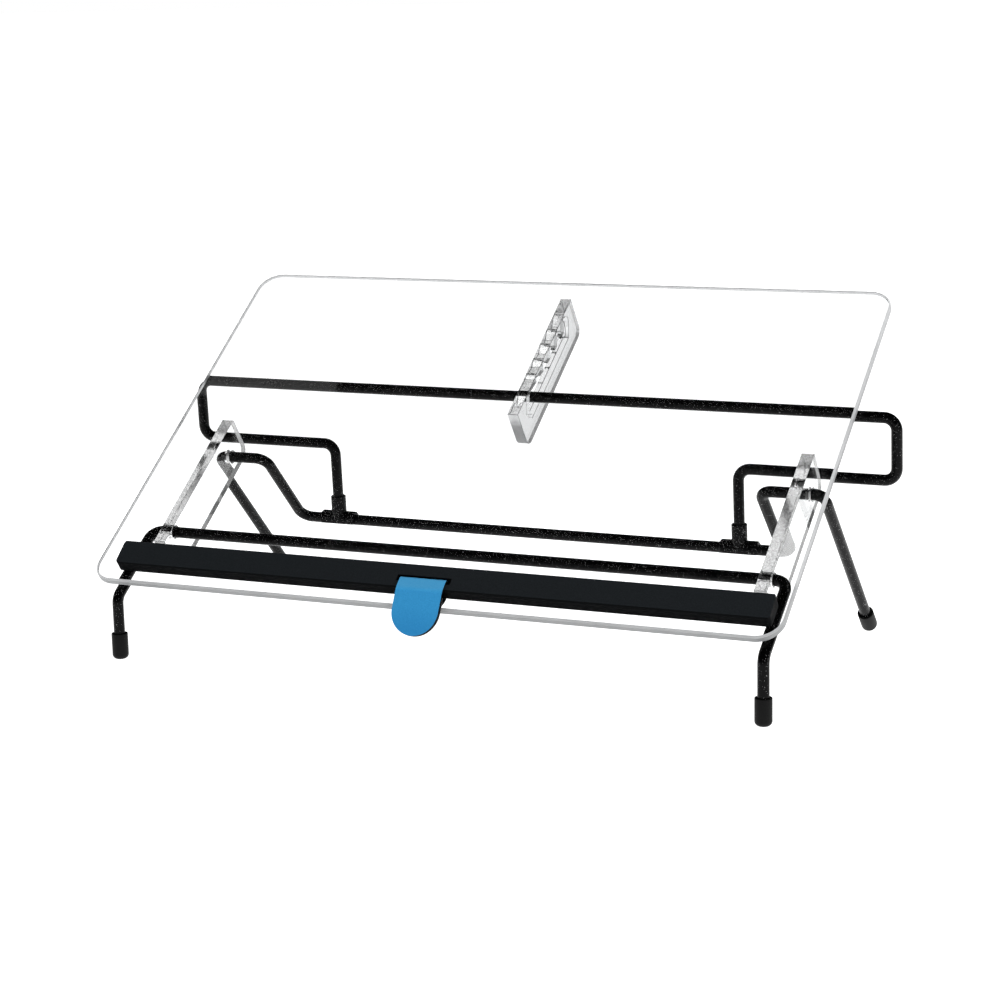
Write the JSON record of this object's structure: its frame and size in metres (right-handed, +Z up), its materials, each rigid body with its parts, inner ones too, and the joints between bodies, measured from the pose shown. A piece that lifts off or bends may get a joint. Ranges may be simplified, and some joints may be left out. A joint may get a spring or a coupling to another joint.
{
  "type": "sloped document board",
  "caption": "Clear sloped board with a black front ledge and a blue pull tab, on a folding bent-rod frame whose rear legs and notched prop set the slope.",
  "frame": {"origin": "on the table under the middle of the object's box", "axes": "+X to the right as one sits at the board, +Y to the rear, +Z up"},
  "size_m": [0.564, 0.2909, 0.2479],
  "materials": {
    "acrylic": "clear polished sheet",
    "ledge": "charcoal, fine matte",
    "tape": "thin adhesive strip",
    "tab_blue": "fine grained",
    "tab_black": "fine grained",
    "rod": "satin powder coat with fine specks",
    "tee": "moulded, satin",
    "cap": "matte"
  },
  "bodies": {
    "board": {"board": "acrylic", "document_ledge": "ledge", "ledge_tape": "tape", "tab_face": "tab_blue", "tab_tongue": "tab_black", "left_bracket": "acrylic", "right_bracket": "acrylic", "height_rack": "acrylic"},
    "front_leg": {"front_wire": "rod", "front_left_foot": "cap", "front_right_foot": "cap"},
    "rear_leg": {"rear_wire": "rod", "rear_left_foot": "cap", "rear_right_foot": "cap"},
    "prop": {"prop_wire": "rod", "left_tee": "tee", "right_tee": "tee"}
  },
  "joints": [
    {"name": "front_leg_fold", "type": "hinge", "parent": "board", "child": "front_leg", "pos_m": [0, -0.08087, 0.08117], "axis": [1, 0, 0], "range_deg": [0, 115]},
    {"name": "rear_leg_swing", "type": "hinge", "parent": "board", "child": "rear_leg", "pos_m": [0, 0.00461, 0.12173], "axis": [1, 0, 0], "range_deg": [0, 36]},
    {"name": "prop_swing", "type": "hinge", "parent": "rear_leg", "child": "prop", "pos_m": [0, 0.05844, 0.06696], "axis": [1, 0, 0], "range_deg": [-60.6, 0]}
  ],
  "couplings": [
    {"joint": "prop_swing", "follows": "rear_leg_swing", "ratio": -1.6806}
  ]
}
